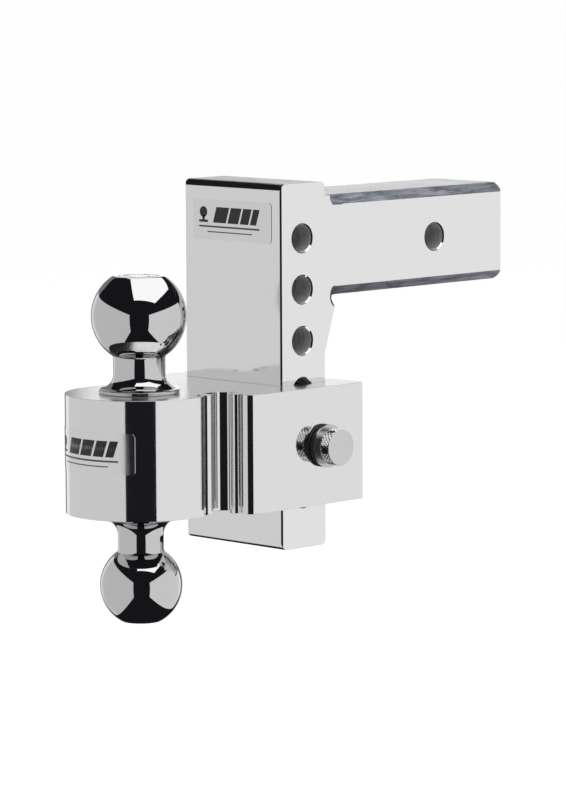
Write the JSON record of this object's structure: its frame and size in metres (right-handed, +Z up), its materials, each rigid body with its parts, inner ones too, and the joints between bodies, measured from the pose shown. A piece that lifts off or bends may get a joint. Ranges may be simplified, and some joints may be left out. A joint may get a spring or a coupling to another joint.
{
  "type": "trailer hitch with ball",
  "caption": "Adjustable drop hitch: square shank and drilled column, sliding head with a tow ball above and below, held by a key-locked pin.",
  "frame": {"origin": "centre of the hitch-pin bore in the shank, midway between the shank's sides", "axes": "+X along the shank towards the vehicle, +Z up with the larger ball upward, +Y across; the lock is on the -Y side"},
  "size_m": [0.3424, 0.1544, 0.2675],
  "materials": {
    "frame_aluminium": "machined and polished, fine grain",
    "head_aluminium": "extruded and polished, fine lengthwise grain",
    "ball_chrome": "bright chrome",
    "stud_steel": "plain steel",
    "pin_steel": "turned stainless steel",
    "seal_rubber": "matt black",
    "core_brass": "plain",
    "plug_nickel": "nickel plated",
    "wafer_brass": "stamped",
    "spring_steel": "bright",
    "spindle_steel": "ground",
    "lock_ball_steel": "polished",
    "cap_chrome": "knurled side, smooth face",
    "label_film": "clear film with a grey print"
  },
  "bodies": {
    "root": {"drop_frame": "frame_aluminium", "ball_head": "head_aluminium", "upper_ball": "ball_chrome", "lower_ball": "ball_chrome", "ball_stud": "stud_steel", "column_label": "label_film", "boss_label": "label_film"},
    "locking_pin": {"pin_body": "pin_steel", "pin_seal": "seal_rubber", "core_sleeve": "core_brass"},
    "key_core": {"key_cylinder": "plug_nickel", "wafer_tumblers": "wafer_brass", "wafer_springs": "spring_steel", "cylinder_clip": "spring_steel"},
    "spindle": {"locking_spindle": "spindle_steel"},
    "lock_ball_top": {"locking_ball_top": "lock_ball_steel"},
    "lock_ball_bottom": {"locking_ball_bottom": "lock_ball_steel"},
    "cap_ring": {"cap_seal": "seal_rubber"},
    "dust_cap": {"dust_cap": "cap_chrome"}
  },
  "joints": [
    {"name": "pin_withdraw", "type": "slide", "parent": "root", "child": "locking_pin", "axis": [0, -1, 0], "range_m": [0, 0.155]},
    {"name": "key_turn", "type": "hinge", "parent": "locking_pin", "child": "key_core", "pos_m": [-0.1322, -0.06185, -0.12055], "axis": [0, 1, 0], "range_deg": [0, 90]},
    {"name": "spindle_slide", "type": "slide", "parent": "locking_pin", "child": "spindle", "axis": [0, 1, 0], "range_m": [0, 0.004]},
    {"name": "top_ball_out", "type": "slide", "parent": "locking_pin", "child": "lock_ball_top", "axis": [0, 0, 1], "range_m": [0, 0.0015]},
    {"name": "bottom_ball_out", "type": "slide", "parent": "locking_pin", "child": "lock_ball_bottom", "axis": [0, 0, -1], "range_m": [0, 0.0015]},
    {"name": "cap_travel", "type": "slide", "parent": "locking_pin", "child": "cap_ring", "axis": [0, -1, 0], "range_m": [0, 0.006]},
    {"name": "cap_turn", "type": "hinge", "parent": "cap_ring", "child": "dust_cap", "pos_m": [-0.1322, -0.06185, -0.12055], "axis": [0, -1, 0], "range_deg": [0, 1440]}
  ],
  "couplings": [
    {"joint": "key_turn", "follows": "spindle_slide", "rad_per_m": 392.69},
    {"joint": "top_ball_out", "follows": "spindle_slide", "ratio": 0.375},
    {"joint": "bottom_ball_out", "follows": "spindle_slide", "ratio": 0.375},
    {"joint": "cap_travel", "follows": "cap_turn", "m_per_rad": 0.0002387}
  ]
}
